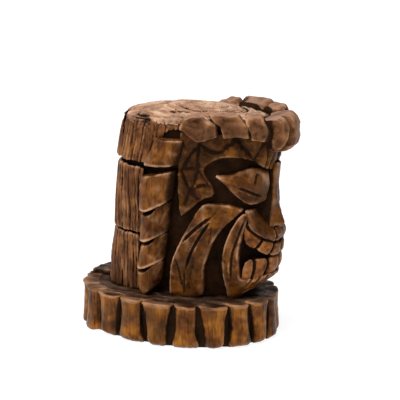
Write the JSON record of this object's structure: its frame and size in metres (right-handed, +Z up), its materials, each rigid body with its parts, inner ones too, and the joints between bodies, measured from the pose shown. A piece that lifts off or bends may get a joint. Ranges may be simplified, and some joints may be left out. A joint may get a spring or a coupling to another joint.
{
  "type": "carved wooden tiki head",
  "caption": "Carved wooden tiki head figure with braids, leaf headband and bark-plated back, standing on an oval plinth with a fluted rim.",
  "frame": {"origin": "centre of the plinth's underside, on the surface it stands on", "axes": "+Z up, the face looks along -Y, the figure's left is +X"},
  "size_m": [0.06, 0.0965, 0.1017],
  "materials": {
    "bark_wood": "split grain, umber wash in the splits",
    "braid_wood": "satin oiled wood, rubbed highlights",
    "core_wood": "carved wood, umber wash",
    "dowel_wood": "plain sanded wood, hidden",
    "end_grain_wood": "rough end grain, dry-brushed",
    "face_wood": "satin oiled wood, umber wash in the cuts",
    "leaf_wood": "satin oiled wood, rubbed dusty highlights",
    "plinth_wood": "dark umber washed wood",
    "stave_wood": "satin oiled wood, umber wash in the slots",
    "tooth_wood": "satin oiled wood"
  },
  "bodies": {
    "root": {"bark_lower_left": "bark_wood", "bark_lower_rear": "bark_wood", "bark_lower_right": "bark_wood", "bark_middle_left": "bark_wood", "bark_middle_rear": "bark_wood", "bark_middle_right": "bark_wood", "bark_upper_left": "bark_wood", "bark_upper_rear": "bark_wood", "bark_upper_right": "bark_wood", "braid_left_1": "braid_wood", "braid_left_2": "braid_wood", "braid_left_3": "braid_wood", "braid_left_4": "braid_wood", "braid_left_5": "braid_wood", "braid_right_1": "braid_wood", "braid_right_2": "braid_wood", "braid_right_3": "braid_wood", "braid_right_4": "braid_wood", "braid_right_5": "braid_wood", "cheek_left": "face_wood", "cheek_right": "face_wood", "crown_cap": "end_grain_wood", "eye_left": "face_wood", "eye_right": "face_wood", "head_core": "core_wood", "head_dowels": "dowel_wood", "headband_knot": "leaf_wood", "headband_leaf_left_1": "leaf_wood", "headband_leaf_left_2": "leaf_wood", "headband_leaf_left_3": "leaf_wood", "headband_leaf_right_1": "leaf_wood", "headband_leaf_right_2": "leaf_wood", "headband_leaf_right_3": "leaf_wood", "lower_lip": "face_wood", "lower_teeth": "tooth_wood", "nose": "face_wood", "plinth_slab": "plinth_wood", "plinth_stave_01": "stave_wood", "plinth_stave_02": "stave_wood", "plinth_stave_03": "stave_wood", "plinth_stave_04": "stave_wood", "plinth_stave_05": "stave_wood", "plinth_stave_06": "stave_wood", "plinth_stave_07": "stave_wood", "plinth_stave_08": "stave_wood", "plinth_stave_09": "stave_wood", "plinth_stave_10": "stave_wood", "plinth_stave_11": "stave_wood", "plinth_stave_12": "stave_wood", "plinth_stave_13": "stave_wood", "plinth_stave_14": "stave_wood", "plinth_stave_15": "stave_wood", "plinth_stave_16": "stave_wood", "plinth_stave_17": "stave_wood", "plinth_stave_18": "stave_wood", "plinth_stave_19": "stave_wood", "plinth_stave_20": "stave_wood", "rear_step": "plinth_wood", "upper_lip": "face_wood", "upper_teeth": "tooth_wood"}
  },
  "joints": []
}
